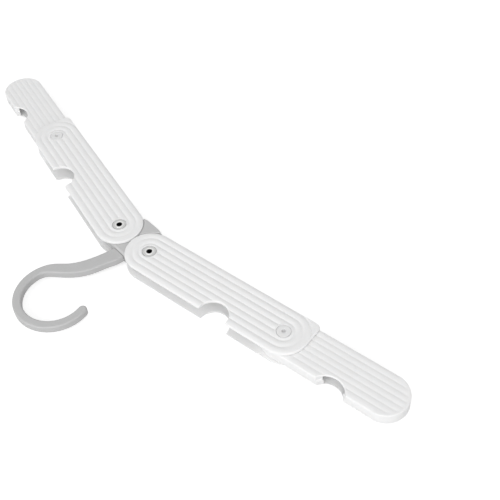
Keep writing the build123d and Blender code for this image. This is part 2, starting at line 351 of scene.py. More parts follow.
@dataclass(frozen=True)
class Palette:
    """Every finish of the hanger, made once."""

    white: bpy.types.Material
    pin_white: bpy.types.Material
    hook_grey: bpy.types.Material
    hub_grey: bpy.types.Material
    plated: bpy.types.Material
    washer: bpy.types.Material
    # Painted shade: a near-black colour for the inside of the rivets' tubes
    bore: bpy.types.Material

    @staticmethod
    def mix() -> "Palette":
        """Makes the materials.

        Returns:
            The palette of finished materials.
        """
        white = MouldedPlastic("white_polypropylene", "FAFAFA", "F6F6F6", roughness=0.42, depth_mm=0.8)
        pin = MouldedPlastic("white_pin_acetal", "F2F2F2", "EDEDED", roughness=0.34, depth_mm=0.5)
        hook = MouldedPlastic("grey_hook_polypropylene", "C8C8C8", "C2C2C2", roughness=0.36, depth_mm=0.4)
        hub = MouldedPlastic("grey_hub_polypropylene", "CECECE", "C8C8C8", roughness=0.42, depth_mm=0.4)
        return Palette(
            white=white.material(),
            pin_white=pin.material(),
            hook_grey=hook.material(),
            hub_grey=hub.material(),
            plated=PlatedSteel("nickel_plated_rivet", "DEDEDD", roughness=0.30).material(),
            washer=PlatedSteel("nickel_plated_washer", "C9C9C8", roughness=0.38).material(),
            # The bore's near-black colour is painted shade for the deep hole in each rivet
            bore=PaintedShadeBore("painted_shade_bore", "0C0C0D", roughness=0.6).material(),
        )


def edge_angles(mesh: bmesh.types.BMesh) -> None:
    """Shades a mesh smooth, with its real edges kept sharp.

    Args:
        mesh: the mesh to shade.
    """
    for face in mesh.faces:
        face.smooth = True
    for edge in mesh.edges:
        edge.smooth = edge.is_manifold and edge.calc_face_angle(0.0) < SMOOTH_ANGLE


def finish_piece(mesh: bmesh.types.BMesh, name: str,
                 materials: list[bpy.types.Material]) -> bpy.types.Object:
    """Makes a scene object of a mesh.

    Args:
        mesh: the mesh, which is freed.
        name: the piece's name.
        materials: one for each material index that the faces use.

    Returns:
        The new object at the origin.
    """
    edge_angles(mesh)
    data = bpy.data.meshes.new(name)
    mesh.to_mesh(data)
    mesh.free()
    for material in materials:
        data.materials.append(material)
    piece = bpy.data.objects.new(name, data)
    bpy.context.scene.collection.objects.link(piece)
    return piece


def settle(mesh: bmesh.types.BMesh, place: Matrix) -> None:
    """Moves a mesh to its place, with its faces turned back out where the place mirrors it.

    Args:
        mesh: the mesh to move.
        place: the transform, which may mirror.
    """
    bmesh.ops.transform(mesh, matrix=place, verts=mesh.verts)
    if place.determinant() < 0:
        bmesh.ops.reverse_faces(mesh, faces=mesh.faces)


class Cut(Enum):
    """What a tool does to a piece."""

    AWAY = "DIFFERENCE"
    JOIN = "UNION"


def put(piece: bpy.types.Object, place: Matrix) -> None:
    """Moves a finished piece's mesh from its own axes to its place.

    Args:
        piece: the object, which itself stays at the origin.
        place: the transform, which may mirror.
    """
    mesh = bmesh.new()
    mesh.from_mesh(piece.data)
    settle(mesh, place)
    mesh.to_mesh(piece.data)
    mesh.free()


def carve(piece: bpy.types.Object, tools: list[tuple[Cut, bpy.types.Object]]) -> None:
    """Cuts or joins tools, in order, and shades the new edges.

    Args:
        piece: the object that is worked on.
        tools: closed objects, each with what it does, which are removed afterwards.
    """
    for action, tool in tools:
        step = piece.modifiers.new(tool.name, "BOOLEAN")
        step.operation = action.value
        step.solver = "EXACT"
        step.object = tool
    graph = bpy.context.evaluated_depsgraph_get()
    baked = bpy.data.meshes.new_from_object(piece.evaluated_get(graph))
    piece.modifiers.clear()
    mesh = bmesh.new()
    mesh.from_mesh(baked)
    edge_angles(mesh)
    mesh.to_mesh(baked)
    mesh.free()
    piece.data = baked
    baked.name = piece.name
    for _, tool in tools:
        bpy.data.objects.remove(tool)


def round_bar(radius: float, low: float, high: float, x: float = 0.0,
              y: float = 0.0) -> bmesh.types.BMesh:
    """Makes an upright bar of round section.

    Args:
        radius: the bar's radius.
        low: the height of its foot.
        high: the height of its top.
        x: where it stands along the plate.
        y: where it stands across the plate.

    Returns:
        The closed bar.
    """
    mesh = bmesh.new()
    bmesh.ops.create_cone(mesh, cap_ends=True, segments=BAR_FACETS, radius1=radius, radius2=radius,
                          depth=high - low, matrix=Matrix.Translation((x, y, (low + high) / 2)))
    return mesh


def block(low: tuple[float, float, float], high: tuple[float, float, float]) -> bmesh.types.BMesh:
    """Makes a square block between two corners.

    Args:
        low: the lowest corner.
        high: the highest corner.

    Returns:
        The closed block.
    """
    mesh = bmesh.new()
    size, middle = Vector(high) - Vector(low), (Vector(high) + Vector(low)) / 2
    bmesh.ops.create_cube(mesh, size=1.0, matrix=Matrix.Translation(middle) @ Matrix.Diagonal((*size, 1)))
    return mesh


def long_bar(span: float, radius: float, low: float, high: float) -> bmesh.types.BMesh:
    """Makes an upright bar of long round-ended section, from the origin to a second centre on +X.

    Args:
        span: the distance between the centres of its ends.
        radius: the radius of its ends.
        low: the height of its foot.
        high: the height of its top.

    Returns:
        The closed bar.
    """
    mesh = bmesh.new()
    half_step = Matrix.Rotation(pi / BAR_FACETS, 4, "Z")
    bmesh.ops.create_circle(mesh, cap_ends=True, segments=BAR_FACETS, radius=radius, matrix=half_step)
    for vertex in mesh.verts:
        vertex.co.x += span if vertex.co.x > 0 else 0.0
        vertex.co.z = low
    made = bmesh.ops.extrude_face_region(mesh, geom=list(mesh.faces))["geom"]
    bmesh.ops.translate(mesh, vec=(0, 0, high - low), verts=[item for item in made
                                                           if isinstance(item, bmesh.types.BMVert)])
    bmesh.ops.recalc_face_normals(mesh, faces=mesh.faces)
    return mesh


@dataclass(frozen=True)
class Notch:
    """Round cut-out in the hook-side edge of a plate, with rounded lips."""

    x: float
    y: float
    radius: float
    lip: float
    arc_steps: int = 40
    lip_steps: int = 6
    margin: float = 0.3 * MM
    margin_steps: int = 3

    def lip_reach(self, edge: float) -> float:
        """How far from the notch's middle the lip's own middle lies, along the plate.

        Args:
            edge: the height of the plate's straight edge.

        Returns:
            The distance.
        """
        return sqrt((self.radius + self.lip) ** 2 - (edge - self.lip - self.y) ** 2)

    def edge_height(self, x: float, edge: float) -> float:
        """Height of the plate's edge at a place along it.

        Args:
            x: the place along the plate.
            edge: the height of the plate's straight edge.

        Returns:
            The edge's height, lower inside the notch.
        """
        offset = abs(x - self.x)
        reach = self.lip_reach(edge)
        touch = reach * self.radius / (self.radius + self.lip)
        if offset >= reach:
            return edge
        if offset >= touch:
            return edge - self.lip + sqrt(max(0.0, self.lip ** 2 - (reach - offset) ** 2))
        return self.y - sqrt(self.radius ** 2 - offset ** 2)

    def clearance(self, x: float, y: float, edge: float) -> float:
        """Distance from the notch or its lips to a point of the plate.

        Args:
            x: the point's place along the plate.
            y: the point's place across it.
            edge: the height of the plate's straight edge.

        Returns:
            The distance.
        """
        offset = abs(x - self.x)
        reach = self.lip_reach(edge)
        middle = edge - self.lip
        if offset < reach and y > middle:
            return self.lip - hypot(offset - reach, y - middle)
        return hypot(offset, y - self.y) - self.radius

    def columns(self, edge: float) -> list[float]:
        """Places along the plate where the notch needs points.

        Args:
            edge: the height of the plate's straight edge.

        Returns:
            The places.
        """
        reach = self.lip_reach(edge)
        touch = reach * self.radius / (self.radius + self.lip)
        start = atan2(edge - self.lip - self.y, reach)
        sweep = pi - 2 * start
        angles = [start + sweep * k / self.arc_steps for k in range(self.arc_steps + 1)]
        places = [self.x + touch / cos(start) * cos(angle) for angle in angles]
        for side in (-1, 1):
            for k in range(self.lip_steps + 1):
                places.append(self.x + side * (reach - self.lip * cos(pi / 2 * k / self.lip_steps)))
            for k in range(1, self.margin_steps + 1):
                places.append(self.x + side * (reach + self.margin * k))
        return places


@dataclass(frozen=True)
class RibbedPlate:
    """Flat plate with ribs along it that close in on its round ends, and rounded rims.

    It lies along +X from its pivot, with its hook-side edge towards +Y.
    """

    span: float
    radius: float
    top: float
    notch: Notch
    corner: float
    recesses: tuple[tuple[float, float], ...]
    rib_count: int = 7
    groove: float = 0.50 * MM
    rib_inset: float = 0.35 * MM
    rim: float = 0.70 * MM
    hook_rim: float = 0.8 * MM
    crest_power: float = 2.0
    end_fade: float = 0.85
    end_fade_shares: tuple[float, float] = (0.3, 0.95)
    straight_ends: bool = False
    straight_fade: tuple[float, float] = (0.5 * MM, 3.5 * MM)
    recess_fade: tuple[float, float] = (0.3 * MM, 1.6 * MM)
    corner_drop_share: float = 0.35
    corner_fade: float = 0.7 * MM
    hook_rim_share: float = 0.35
    press_share: float = 1.15
    end_steps: int = 40
    corner_stride: int = 4
    span_steps: int = 18
    recess_steps: int = 14
    recess_margin: float = 2 * MM
    least_column: float = 0.02 * MM
    serration: float = 0.0
    serration_pitch: float = 1.5 * MM
    serration_start: float = 0.0

    def half_width(self, x: float) -> float:
        """Half of the ribbed band's width at a place along the plate."""
        past = max(-x, x - self.span, 0.0)
        return sqrt(max(0.0, self.radius ** 2 - past ** 2))

    def upper_edge(self, x: float) -> float:
        """Height of the hook-side edge at a place along the plate."""
        if 0.0 <= x <= self.span:
            return min(self.half_width(x), self.notch.edge_height(x, self.radius)) - self.teeth(x)
        return self.half_width(x)

    def teeth(self, x: float) -> float:
        """Depth of the fine grip teeth of the hook-side edge at a place along the plate."""
        if self.serration == 0.0 or not self.serration_start <= x <= self.span:
            return 0.0
        share = (x - self.serration_start) / self.serration_pitch
        return self.serration * abs(2 * (share - floor(share)) - 1)

    def lower_edge(self, x: float) -> float:
        """Height of the lower edge at a place along the plate, square corner included."""
        if self.corner == 0.0 or x <= self.span:
            return -self.half_width(x)
        into = max(0.0, x - (self.span + self.radius - self.corner))
        return -self.radius + self.corner - sqrt(max(0.0, self.corner ** 2 - into ** 2))

    def edge_distance(self, x: float, y: float) -> float:
        """Distance from a point to the nearest stretch of the plate's outline.

        Args:
            x: the point's place along the plate.
            y: the point's place across it.

        Returns:
            The distance.
        """
        end = self.span + self.radius
        if x < 0:
            near = self.radius - hypot(x, y)
        elif x <= self.span:
            near = min(self.radius - self.teeth(x) - y, self.radius + y)
        elif y >= 0 or self.corner == 0.0:
            near = self.radius - hypot(x - self.span, y)
        else:
            near = min(end - x, self.radius + y)
            in_x, in_y = x - (end - self.corner), -y - (self.radius - self.corner)
            if in_x > 0 and in_y > 0:
                near = self.corner - hypot(in_x, in_y)
        return max(0.0, min(near, self.notch.clearance(x, y, self.radius)))

    def columns(self) -> list[float]:
        """Places along the plate where its grid has lines, in order.

        Returns:
            The places, with those that nearly coincide left out.
        """
        turn = [pi / 2 * k / self.end_steps for k in range(self.end_steps + 1)]
        places = [-self.radius * cos(a) for a in turn] + [self.span + self.radius * sin(a) for a in turn]
        places += [self.span * k / self.span_steps for k in range(self.span_steps + 1)]
        places += self.notch.columns(self.radius)
        for x, reach in self.recesses:
            places += [x + (reach + self.recess_margin) * k / self.recess_steps
                       for k in range(-self.recess_steps, self.recess_steps + 1)]
        if self.corner:
            end = self.span + self.radius
            places += [end - self.corner * (1 - sin(a)) for a in turn[::self.corner_stride]]
            places += [end - share * self.rim for share in END_RIM_SHARES]
        if self.serration:
            count = int((self.span - self.serration_start) / self.serration_pitch * 2)
            places += [self.serration_start + self.serration_pitch / 2 * k for k in range(count)]
        kept: list[float] = []
        for x in sorted(places):
            if not kept or x - kept[-1] > self.least_column:
                kept.append(x)
        return kept

    def rows(self) -> list[float]:
        """Places across the plate where its grid has lines, from the lower edge up.

        Returns:
            Shares of the half width from -1 to 1, and below -1 for the square corner.
        """
        low = [share * self.rim / self.radius for share in RIM_SHARES]
        high = [share * self.hook_rim / self.radius for share in reversed(RIM_SHARES)]
        band = 1 - self.rib_inset / self.radius
        ribs = [band * (2 * (rib + share) / self.rib_count - 1) for rib in range(self.rib_count)
                for share in RIB_SHARES]
        inner = [v for v in ribs if self.press_share * low[-1] - 1 < v < 1 - self.press_share * high[0]]
        rows = [-1 + r for r in low] + inner + [1 - r for r in high]
        if self.corner:
            rows = [-1 - share for share in CORNER_SHARES] + rows
        return rows

    def across(self, x: float, row: float) -> float:
        """Where a grid row lies across the plate, at a place along it.

        Args:
            x: the place along the plate.
            row: the row, as rows() gives it.

        Returns:
            The height, pressed down under the notch.
        """
        half = self.half_width(x)
        if row < -1:
            return -half + (-1 - row) * (self.lower_edge(x) + half)
        inset = min(1 - row, self.press_share * self.hook_rim / self.radius) * half
        return min(row * half, self.upper_edge(x) - inset)

    def height(self, x: float, y: float, row: float) -> float:
        """Height of the plate's face at a point: ribs, quiet rings round the recesses, and the rim.

        Args:
            x: the point's place along the plate.
            y: the point's place across it.
            row: the grid row that the point is on.

        Returns:
            The height above the plate's middle plane.
        """
        half = self.half_width(x)
        past = max(-x, x - self.span, 0.0)
        near = self.edge_distance(x, y)
        share = min(1.0, hypot(past, y) / (self.radius - self.rib_inset))
        calm = 1 - self.end_fade * smooth_step(past / self.radius, *self.end_fade_shares)
        if self.straight_ends:
            share = min(1.0, abs(y) / (self.radius - self.rib_inset))
            calm = 1.0 if past == 0.0 else smooth_step(near, *self.straight_fade)
        phase = (share + 1) / 2 * self.rib_count
        away = abs(2 * (phase - floor(phase)) - 1)
        fade_start, fade_end = self.recess_fade
        for centre, reach in self.recesses:
            calm *= smooth_step(hypot(x - centre, y), reach + fade_start, reach + fade_end)
        drop = self.groove * away ** self.crest_power * calm
        if row < -1 and x > self.span:
            ease = 1 - smooth_step(-half - y, 0.0, self.corner_fade)
            drop = self.groove * (self.corner_drop_share + (1 - self.corner_drop_share) * ease)
        blend = self.hook_rim_share * self.radius
        lift = smooth_step(y, -blend, blend)
        rim = self.rim + (self.hook_rim - self.rim) * lift
        if near < rim:
            drop += rim - sqrt(max(0.0, rim ** 2 - (rim - near) ** 2))
        return self.top - drop

    def skin(self) -> bmesh.types.BMesh:
        """The plate's outer face as an open mesh.

        Returns:
            A grid that follows the outline, the ribs and the notch.
        """
        columns, rows = self.columns(), self.rows()
        mesh = bmesh.new()
        bmesh.ops.create_grid(mesh, x_segments=len(columns) - 1, y_segments=len(rows) - 1, size=1.0)
        for vertex in mesh.verts:
            x = columns[round((vertex.co.x + 1) / 2 * (len(columns) - 1))]
            row = rows[round((vertex.co.y + 1) / 2 * (len(rows) - 1))]
            y = self.across(x, row)
            vertex.co = Vector((x, y, self.height(x, y, row)))
        bmesh.ops.remove_doubles(mesh, verts=mesh.verts, dist=WELD)
        bmesh.ops.dissolve_degenerate(mesh, edges=mesh.edges, dist=WELD / 4)
        return mesh

    def slab(self, floor_height: float) -> tuple[bmesh.types.BMesh, list[bmesh.types.BMFace]]:
        """The plate as a closed slab down to a flat underside.

        Args:
            floor_height: the height of the underside.

        Returns:
            The mesh, and the faces of its underside.
        """
        mesh = self.skin()
        rim = [edge for edge in mesh.edges if edge.is_boundary]
        made = bmesh.ops.extrude_edge_only(mesh, edges=rim)["geom"]
        for item in made:
            if isinstance(item, bmesh.types.BMVert):
                item.co.z = floor_height
        lower = [item for item in made if isinstance(item, bmesh.types.BMEdge)]
        under = bmesh.ops.edgeloop_fill(mesh, edges=[edge for edge in lower if edge.is_boundary])["faces"]
        bmesh.ops.recalc_face_normals(mesh, faces=mesh.faces)
        return mesh, under


def spool(profile: list[tuple[float, float]], steps: int = 64) -> bmesh.types.BMesh:
    """Turns a closed profile round the Z axis.

    Args:
        profile: radius and height of each corner, in order round the profile.
        steps: how many facets the turn has.

    Returns:
        The closed mesh round the origin.
    """
    mesh = bmesh.new()
    corners = [mesh.verts.new((radius, 0.0, height)) for radius, height in profile]
    edges = [mesh.edges.new((a, b)) for a, b in zip(corners, corners[1:])]
    if profile[0][0] > 0:
        edges.append(mesh.edges.new((corners[-1], corners[0])))
    bmesh.ops.spin(mesh, geom=corners + edges, cent=(0, 0, 0), axis=(0, 0, 1), dvec=(0, 0, 0),
                   angle=FULL_TURN, steps=steps, use_merge=True, use_duplicate=False)
    bmesh.ops.remove_doubles(mesh, verts=mesh.verts, dist=WELD)
    bmesh.ops.recalc_face_normals(mesh, faces=mesh.faces)
    return mesh


@dataclass(frozen=True)
class Arm:
    """One arm: two ribbed plates, the wall along the lower edge, and the stop lug at the hub."""

    side: Side
    pivot: Vector
    droop: float
    span: float
    radius: float
    half: float
    plate: float = 1.9 * MM
    wall: float = 1.5 * MM
    wall_start: float = 23.0 * MM
    lug_back: float = 1.0 * MM
    lug_front: float = 8.0 * MM
    lug_depth: float = 2.4 * MM
    corner: float = 3.5 * MM
    notch: Notch = Notch(66.8 * MM, 15.8 * MM, 10.4 * MM, 1.0 * MM)
    rivet_recess: float = 4.9 * MM
    rivet_floor: float = 1.1 * MM
    rivet_hole: float = 2.48 * MM
    pin_recess: float = 4.7 * MM
    pin_floor: float = 1.0 * MM
    pin_hole: float = 3.02 * MM
    recess_ease: float = 0.25 * MM

    @property
    def place(self) -> Matrix:
        """From the arm's own axes to the hanger's frame."""
        lean = Matrix.Translation(self.pivot) @ Matrix.Rotation(-self.droop, 4, "Z")
        return lean if self.side is Side.RIGHT else Matrix.Scale(-1, 4, (1, 0, 0)) @ lean

    @property
    def tip_place(self) -> Matrix:
        """From a tip's own axes to the hanger's frame, with the tip straight out."""
        return self.place @ Matrix.Translation((self.span, 0, 0))

    def plan(self) -> RibbedPlate:
        """The ribbed plate that both faces of the arm share."""
        return RibbedPlate(
            span=self.span, radius=self.radius, top=self.half, notch=self.notch, corner=self.corner,
            recesses=((0.0, self.rivet_recess), (self.span, self.pin_recess)))

    def channel(self) -> bmesh.types.BMesh:
        """The whole channel, in the arm's own axes.

        Returns:
            A closed mesh.
        """
        inner = self.half - self.plate
        mesh, under = self.plan().slab(inner)
        floor_wall, floor_lug = self.wall - self.radius, self.lug_depth - self.radius
        for x in (-self.lug_back, self.lug_front, self.wall_start):
            under = self.split(mesh, under, Vector((x, 0, 0)), Vector((1, 0, 0)))
        under = self.split(mesh, under, Vector((0, floor_wall, 0)), Vector((0, 1, 0)), self.wall_start)
        under = self.split(mesh, under, Vector((0, floor_lug, 0)), Vector((0, 1, 0)),
                           -self.lug_back, self.lug_front)
        feet = [face for face in under if self.carries(face, self.wall_start, FAR, floor_wall)
                or self.carries(face, -self.lug_back, self.lug_front, floor_lug)]
        made = bmesh.ops.extrude_face_region(mesh, geom=feet)["geom"]
        caps = [item for item in made if isinstance(item, bmesh.types.BMFace)]
        for item in made:
            if isinstance(item, bmesh.types.BMVert):
                item.co.z = 0.0
        bmesh.ops.delete(mesh, geom=caps + [face for face in feet if face.is_valid], context="FACES_ONLY")
        everything = list(mesh.verts) + list(mesh.edges) + list(mesh.faces)
        bmesh.ops.mirror(mesh, geom=everything, matrix=Matrix.Identity(4), merge_dist=WELD, axis="Z")
        bmesh.ops.recalc_face_normals(mesh, faces=mesh.faces)
        return mesh

    @staticmethod
    def split(mesh: bmesh.types.BMesh, faces: list[bmesh.types.BMFace], point: Vector, normal: Vector,
              low: float = -FAR, high: float = FAR) -> list[bmesh.types.BMFace]:
        """Splits flat faces by a plane.

        Args:
            mesh: the mesh that holds the faces.
            faces: the faces to split.
            point: a point of the plane.
            normal: the plane's normal.
            low: faces that reach below this place along the plate stay whole.
            high: faces that reach past this place along the plate stay whole.

        Returns:
            The faces that now cover the same area.
        """
        inside = [face for face in faces
                  if all(low - WELD <= corner.co.x <= high + WELD for corner in face.verts)]
        rest = [face for face in faces if face not in inside]
        geometry = set(inside)
        for face in inside:
            geometry.update(face.edges)
            geometry.update(face.verts)
        made = bmesh.ops.bisect_plane(mesh, geom=list(geometry), dist=WELD / 4,
                                      plane_co=point, plane_no=normal)
        return rest + [item for item in made["geom"] if isinstance(item, bmesh.types.BMFace)]

    @staticmethod
    def carries(face: bmesh.types.BMFace, low: float, high: float, level: float) -> bool:
        """Whether a face lies inside a footprint along the lower edge.

        Args:
            face: the face.
            low: the footprint's start along the arm.
            high: its end.
            level: its upper edge.

        Returns:
            True inside the footprint.
        """
        return all(low - WELD <= corner.co.x <= high + WELD and corner.co.y <= level + WELD
                   for corner in face.verts)

    def build(self, palette: Palette) -> bpy.types.Object:
        """Builds the arm and dresses it.

        Args:
            palette: the hanger's finishes.

        Returns:
            The arm's object.
        """
        piece = finish_piece(self.channel(), f"arm_channel_{self.side.label}", [palette.white])
        cutters = []
        for x, recess, depth, hole in ((0.0, self.rivet_recess, self.rivet_floor, self.rivet_hole),
                                       (self.span, self.pin_recess, self.pin_floor, self.pin_hole)):
            level, past, ease = self.half - depth, self.half + PAST, self.recess_ease
            upper = [(0.0, past), (recess + ease + PAST, past), (recess, self.half - ease),
                     (recess, level), (hole, level)]
            tool = spool(upper + [(radius, -height) for radius, height in reversed(upper)])
            settle(tool, Matrix.Translation((x, 0, 0)))
            cutters.append((Cut.AWAY, finish_piece(tool, "recess_tool", [])))
        carve(piece, cutters)
        put(piece, self.place)
        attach(piece, f"arm_{self.side.label}")
        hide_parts(f"arm_{self.side.label}")
        return piece


@dataclass(frozen=True)
class TipShell:
    """One of a tip's two shells, open towards the other one, and along its lower edge for the hook."""

    side: Side
    face: Face
    place: Matrix
    length: float
    radius: float
    half: float
    notch: Notch
    hook_x: float
    hook_y: float
    hook_reach: float
    skin: float = 1.1 * MM
    wall: float = 1.6 * MM
    mouth: float = 7.2 * MM
    boss: float = 6.5 * MM
    hole: float = 3.08 * MM
    groove: float = 0.27 * MM
    rib_inset: float = 0.45 * MM
    teeth: float = 0.12 * MM
    teeth_gap: float = 3 * MM
    tool_step: float = 0.01 * MM
    post: float = 1.6 * MM
    socket: float = 3.0 * MM
    post_shares: tuple[tuple[float, float], ...] = ((0.24, 0.45), (0.76, 0.50), (0.90, 0.05))

    @property
    def name(self) -> str:
        """The piece's name."""
        return f"tip_{self.face.name.lower()}_{self.side.label}"

    @property
    def to_hanger(self) -> Matrix:
        """From the shell's own axes, open side down, to the hanger's frame."""
        return self.place if self.face is Face.FRONT else self.place @ Matrix.Scale(-1, 4, (0, 0, 1))

    def slab(self) -> bmesh.types.BMesh:
        """The solid that the shell is hollowed out of, in the tip's own axes.

        Returns:
            A closed mesh.
        """
        plan = RibbedPlate(
            span=self.length - self.radius, radius=self.radius, top=self.half, notch=self.notch,
            corner=0.0, recesses=(), groove=self.groove, rib_inset=self.rib_inset, straight_ends=True,
            serration=self.teeth, serration_start=self.notch.x + self.notch.radius + self.teeth_gap)
        return plan.slab(0.0)[0]

    def pocket(self) -> bpy.types.Object:
        """The hollow as one closed tool: the room inside, the hook's room, the mouth and the pin's bore.

        Returns:
            The tool, which leaves the pin's boss and the posts or sockets standing.
        """
        top, low, step = self.half - self.skin, -PAST, self.tool_step
        hollow = long_bar(self.length - self.radius, self.radius - self.wall, low, top)
        room = finish_piece(hollow, "room_tool", [])
        notch_wall = round_bar(self.notch.radius + self.wall, low - PAST, top + PAST,
                               self.notch.x, self.notch.y)
        hook_room = round_bar(self.hook_reach, low - step, top + step, self.hook_x, self.hook_y)
        mouth = block((self.hook_x - self.hook_reach, -self.radius - PAST, low - 2 * step),
                      (self.length + PAST, self.mouth - self.radius, top + 2 * step))
        boss = round_bar(self.boss, low - PAST, top + PAST)
        steps = [(Cut.AWAY, notch_wall), (Cut.JOIN, hook_room), (Cut.JOIN, mouth), (Cut.AWAY, boss)]
        stand = self.post if self.face is Face.FRONT else self.socket
        for x_share, y_share in self.post_shares:
            leg = round_bar(stand, low - PAST, top + PAST, x_share * self.length, y_share * self.radius)
            steps.append((Cut.AWAY, leg))
        steps.append((Cut.JOIN, round_bar(self.hole, low - 3 * step, self.half + PAST)))
        carve(room, [(action, finish_piece(mesh, "pocket_tool", [])) for action, mesh in steps])
        return room

    def build(self, palette: Palette) -> bpy.types.Object:
        """Builds the shell and dresses it.

        Args:
            palette: the hanger's finishes.

        Returns:
            The shell's object.
        """
        piece = finish_piece(self.slab(), self.name, [palette.white])
        carve(piece, [(Cut.AWAY, self.pocket())])
        put(piece, self.to_hanger)
        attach(piece, f"tip_{self.side.label}")
        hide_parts(f"tip_{self.face.name.lower()}_shell_{self.side.label}")
        return piece


def bend(middle: tuple[float, float], reach: tuple[float, float], start: float, stop: float,
         steps: int = 8) -> list[tuple[float, float]]:
    """Points of an arc in a turned profile.

    Args:
        middle: radius and height of the arc's middle.
        reach: how far it goes out and up from there.
        start: its first angle in degrees, from outwards.
        stop: its last angle.
        steps: how many straight runs it has.

    Returns:
        Radius and height of each point.
    """
    angles = [radians(start + (stop - start) * k / steps) for k in range(steps + 1)]
    return [(middle[0] + reach[0] * cos(a), middle[1] + reach[1] * sin(a)) for a in angles]


@dataclass(frozen=True)
class TurnedPiece:
    """A piece that is round about its own axis, on one side of the hanger."""

    side: Side
    place: Matrix

    def profile(self) -> list[tuple[float, float]]:
        """Radius and height of each corner, in order."""
        raise NotImplementedError

    def inside(self, radius: float, height: float) -> bool:
        """Whether a face takes the second finish."""
        return False

    def make(self, name: str, node: str, body: str, slot: str,
             *finishes: bpy.types.Material) -> bpy.types.Object:
        """Builds the piece, dresses it, and puts it in its node's stead.

        Args:
            name: the piece's name without its side.
            node: the CAD node without its side.
            body: the body that it rides on.
            slot: the record's material slot; not used.
            finishes: the piece's finishes, the outside first.

        Returns:
            The piece's object.
        """
        mesh = spool(self.profile())
        for face in mesh.faces:
            middle = face.calc_center_median()
            face.material_index = int(self.inside(hypot(middle.x, middle.y), middle.z))
        settle(mesh, self.place)
        piece = finish_piece(mesh, f"{name}_{self.side.label}", list(finishes))
        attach(piece, body)
        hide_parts(f"{node}_{self.side.label}")
        return piece


@dataclass(frozen=True)
class HollowRivet(TurnedPiece):
    """Hollow rivet at the hub: its lip rolled over the washer in front, its flange flat at the back."""

    tube: float = 2.4 * MM
    bore: float = 1.95 * MM
    lip: float = 3.1 * MM
    lip_foot: float = 6.2 * MM
    lip_top: float = 6.5 * MM
    flange: float = 4.6 * MM
    flange_low: float = -6.2 * MM
    flange_high: float = -5.7 * MM
    ease: float = 0.2 * MM

    def profile(self) -> list[tuple[float, float]]:
        """Radius and height of each corner, in order."""
        roll = ((self.lip + self.bore) / 2, self.lip_foot)
        rim = bend((self.flange - self.ease, self.flange_low + self.ease), (self.ease, self.ease),
                   -90, 0, 4)
        return [(self.bore + self.ease, self.flange_low), *rim, (self.flange, self.flange_high),
                (self.tube, self.flange_high), (self.tube, self.lip_foot),
                *bend(roll, ((self.lip - self.bore) / 2, self.lip_top - self.lip_foot), 0, 180, 10),
                (self.bore, self.lip_foot - self.ease), (self.bore, self.flange_low + self.ease)]

    def inside(self, radius: float, height: float) -> bool:
        """Whether a face takes the second finish, the painted shade inside the bore."""
        return radius < self.bore + WELD and height < self.lip_foot


@dataclass(frozen=True)
class RivetWasher(TurnedPiece):
    """Washer under a rivet's rolled lip, with the soft edge of a pressed blank."""

    hole: float = 2.42 * MM
    rim: float = 4.6 * MM
    low: float = 5.7 * MM
    high: float = 6.2 * MM
    ease: float = 0.16 * MM

    def profile(self) -> list[tuple[float, float]]:
        """Radius and height of each corner, in order."""
        return [(self.hole, self.low), (self.rim, self.low),
                *bend((self.rim - self.ease, self.high - self.ease), (self.ease, self.ease), 0, 90, 5),
                (self.hole, self.high)]


@dataclass(frozen=True)
class PivotPin(TurnedPiece):
    """Pivot pin of a tip: a flush round-edged head with a dimple, and a stepped foot for its cap."""

    shaft: float = 3.0 * MM
    head: float = 4.5 * MM
    foot: float = 1.8 * MM
    shoulder: float = 5.5 * MM
    top: float = 6.5 * MM
    dimple: float = 1.4 * MM
    dimple_depth: float = 2.2 * MM
    ease: float = 0.3 * MM

    def profile(self) -> list[tuple[float, float]]:
        """Radius and height of each corner, in order."""
        floor_edge = (self.dimple - self.ease, self.top - self.dimple_depth + self.ease)
        half = self.ease / 2
        return [(0.0, self.top - self.dimple_depth), *bend(floor_edge, (self.ease, self.ease), -90, 0, 5),
                *bend((self.dimple + half, self.top - half), (half, half), 180, 90, 4),
                *bend((self.head - self.ease, self.top - self.ease), (self.ease, self.ease), 90, 0, 6),
                (self.head, self.shoulder), (self.shaft, self.shoulder), (self.shaft, -self.shoulder),
                (self.foot, -self.shoulder), (self.foot, -self.top + half), (self.foot - half, -self.top),
                (0.0, -self.top)]


@dataclass(frozen=True)
class PinCap(TurnedPiece):
    """Cap pressed on a pin's foot, flush with the back of the arm."""

    hole: float = 1.82 * MM
    rim: float = 4.5 * MM
    high: float = -5.5 * MM
    low: float = -6.5 * MM
    ease: float = 0.3 * MM

    def profile(self) -> list[tuple[float, float]]:
        """Radius and height of each corner, in order."""
        return [(self.hole, self.high), (self.rim, self.high),
                *bend((self.rim - self.ease, self.low + self.ease), (self.ease, self.ease), 0, -90, 6),
                (self.hole + self.ease / 2, self.low), (self.hole, self.low + self.ease / 2)]


